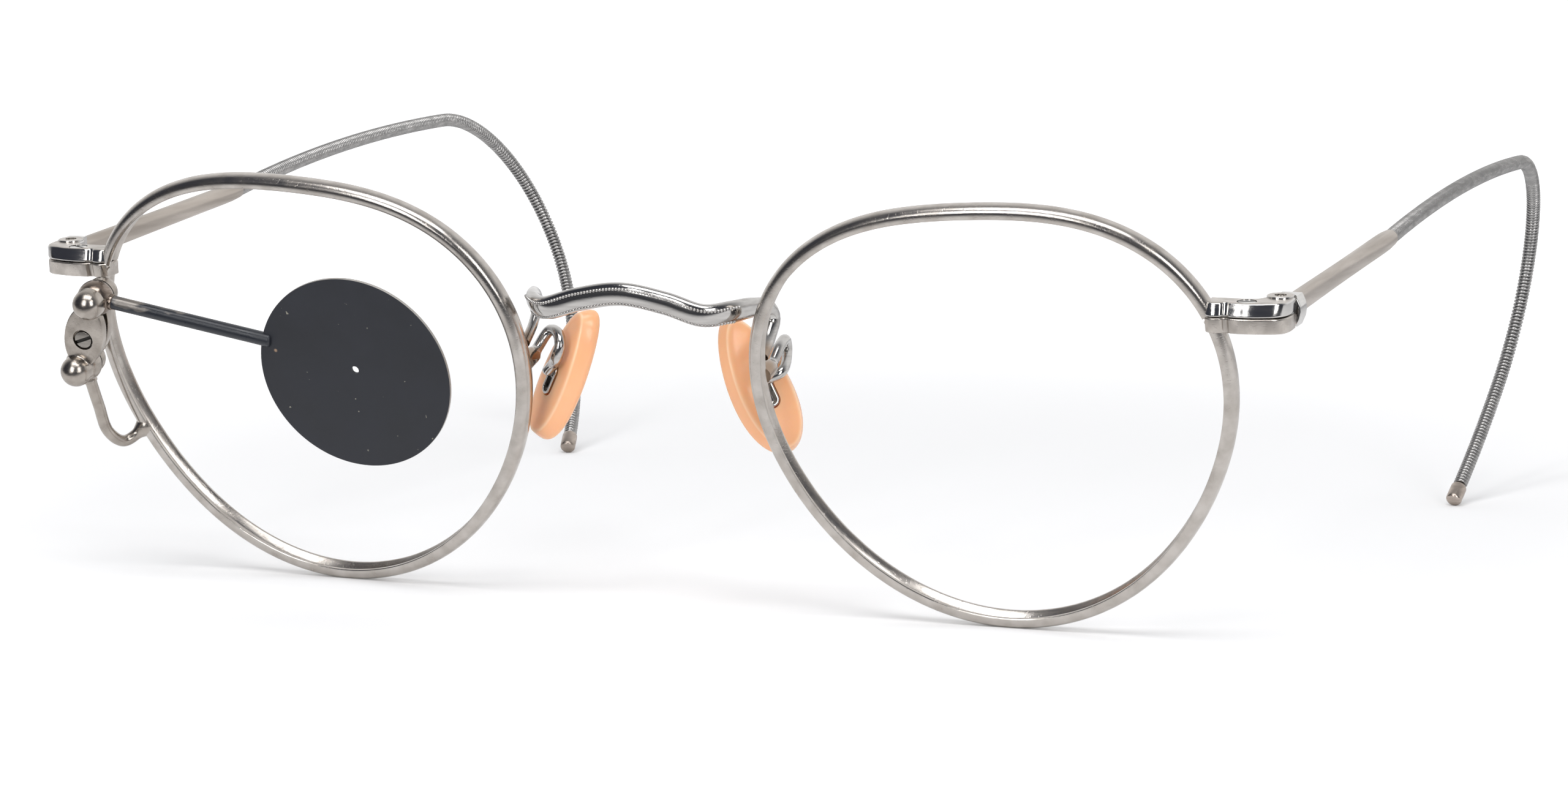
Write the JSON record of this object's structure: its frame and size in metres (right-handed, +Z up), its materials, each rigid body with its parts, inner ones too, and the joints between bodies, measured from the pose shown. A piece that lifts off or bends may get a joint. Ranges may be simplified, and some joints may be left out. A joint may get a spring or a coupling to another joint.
{
  "type": "shooting glasses",
  "caption": "Full-rim metal spectacle frame with cable ear hooks, rocking nose pads and a double-ball clamp that holds a blackened pinhole disc before the right eye.",
  "frame": {"origin": "middle of the footprint, on the table", "axes": "+Z up, +Y from the front to the ear hooks, +X towards the wearer's left"},
  "size_m": [0.1304, 0.1164, 0.0416],
  "materials": {
    "white_metal": "polished, worn satin in places",
    "cable_metal": "wound wire, satin",
    "dark_metal": "darkened, polished",
    "black_finish": "matte black, worn at the edges",
    "pad": "polished"
  },
  "bodies": {
    "front": {"rim_left": "white_metal", "rim_right": "white_metal", "bridge": "white_metal", "endpiece_upper_left": "white_metal", "endpiece_lower_left": "white_metal", "hinge_screw_left": "white_metal", "closing_screw_left": "white_metal", "endpiece_upper_right": "white_metal", "endpiece_lower_right": "white_metal", "hinge_screw_right": "white_metal", "closing_screw_right": "white_metal", "pad_arm_left": "white_metal", "pad_box_left": "white_metal", "pad_arm_right": "white_metal", "pad_box_right": "white_metal", "bracket_wire": "white_metal"},
    "temple_left": {"temple_shaft_left": "white_metal", "temple_cable_left": "cable_metal", "cable_tip_left": "cable_metal"},
    "temple_right": {"temple_shaft_right": "white_metal", "temple_cable_right": "cable_metal", "cable_tip_right": "cable_metal"},
    "pad_left": {"nose_pad_left": "pad", "pad_rivet_left": "white_metal"},
    "pad_right": {"nose_pad_right": "pad", "pad_rivet_right": "white_metal"},
    "lower_ball": {"bracket_ball": "white_metal"},
    "clamp": {"clamp_front_plate": "white_metal", "clamp_rear_plate": "white_metal", "clamp_screw": "white_metal"},
    "upper_ball": {"arm_ball": "dark_metal"},
    "aperture": {"aperture_arm": "black_finish", "aperture_disc": "black_finish"}
  },
  "joints": [
    {"name": "temple_left_fold", "type": "hinge", "parent": "front", "child": "temple_left", "pos_m": [0.06023, -0.048, 0.03214], "axis": [0, -0.0906, 0.9959], "range_deg": [0, 86]},
    {"name": "temple_right_fold", "type": "hinge", "parent": "front", "child": "temple_right", "pos_m": [-0.06337, -0.048, 0.03214], "axis": [0, 0.0906, -0.9959], "range_deg": [-2, 66]},
    {"name": "pad_left_rock", "type": "hinge", "parent": "front", "child": "pad_left", "pos_m": [0.009, -0.04382, 0.02146], "axis": [0.6607, 0.6481, 0.3787], "range_deg": [-7, 5]},
    {"name": "pad_right_rock", "type": "hinge", "parent": "front", "child": "pad_right", "pos_m": [-0.01214, -0.04382, 0.02146], "axis": [0.6607, -0.6481, -0.3787], "range_deg": [-7, 5]},
    {"name": "lower_ball_roll", "type": "hinge", "parent": "front", "child": "lower_ball", "pos_m": [-0.05947, -0.05287, 0.02177], "axis": [0.2425, 0.3062, -0.9205], "range_deg": [0, 65]},
    {"name": "lower_ball_swing", "type": "hinge", "parent": "lower_ball", "child": "clamp", "pos_m": [-0.05947, -0.05287, 0.02177], "axis": [0, -0.9489, -0.3156], "range_deg": [-10, 12]},
    {"name": "upper_ball_swing", "type": "hinge", "parent": "clamp", "child": "upper_ball", "pos_m": [-0.05669, -0.05519, 0.02874], "axis": [0, -0.9489, -0.3156], "range_deg": [-18, 25]},
    {"name": "upper_ball_roll", "type": "hinge", "parent": "upper_ball", "child": "aperture", "pos_m": [-0.05669, -0.05519, 0.02874], "axis": [0.9816, 0.0602, -0.1811], "range_deg": [-15, 15]}
  ]
}
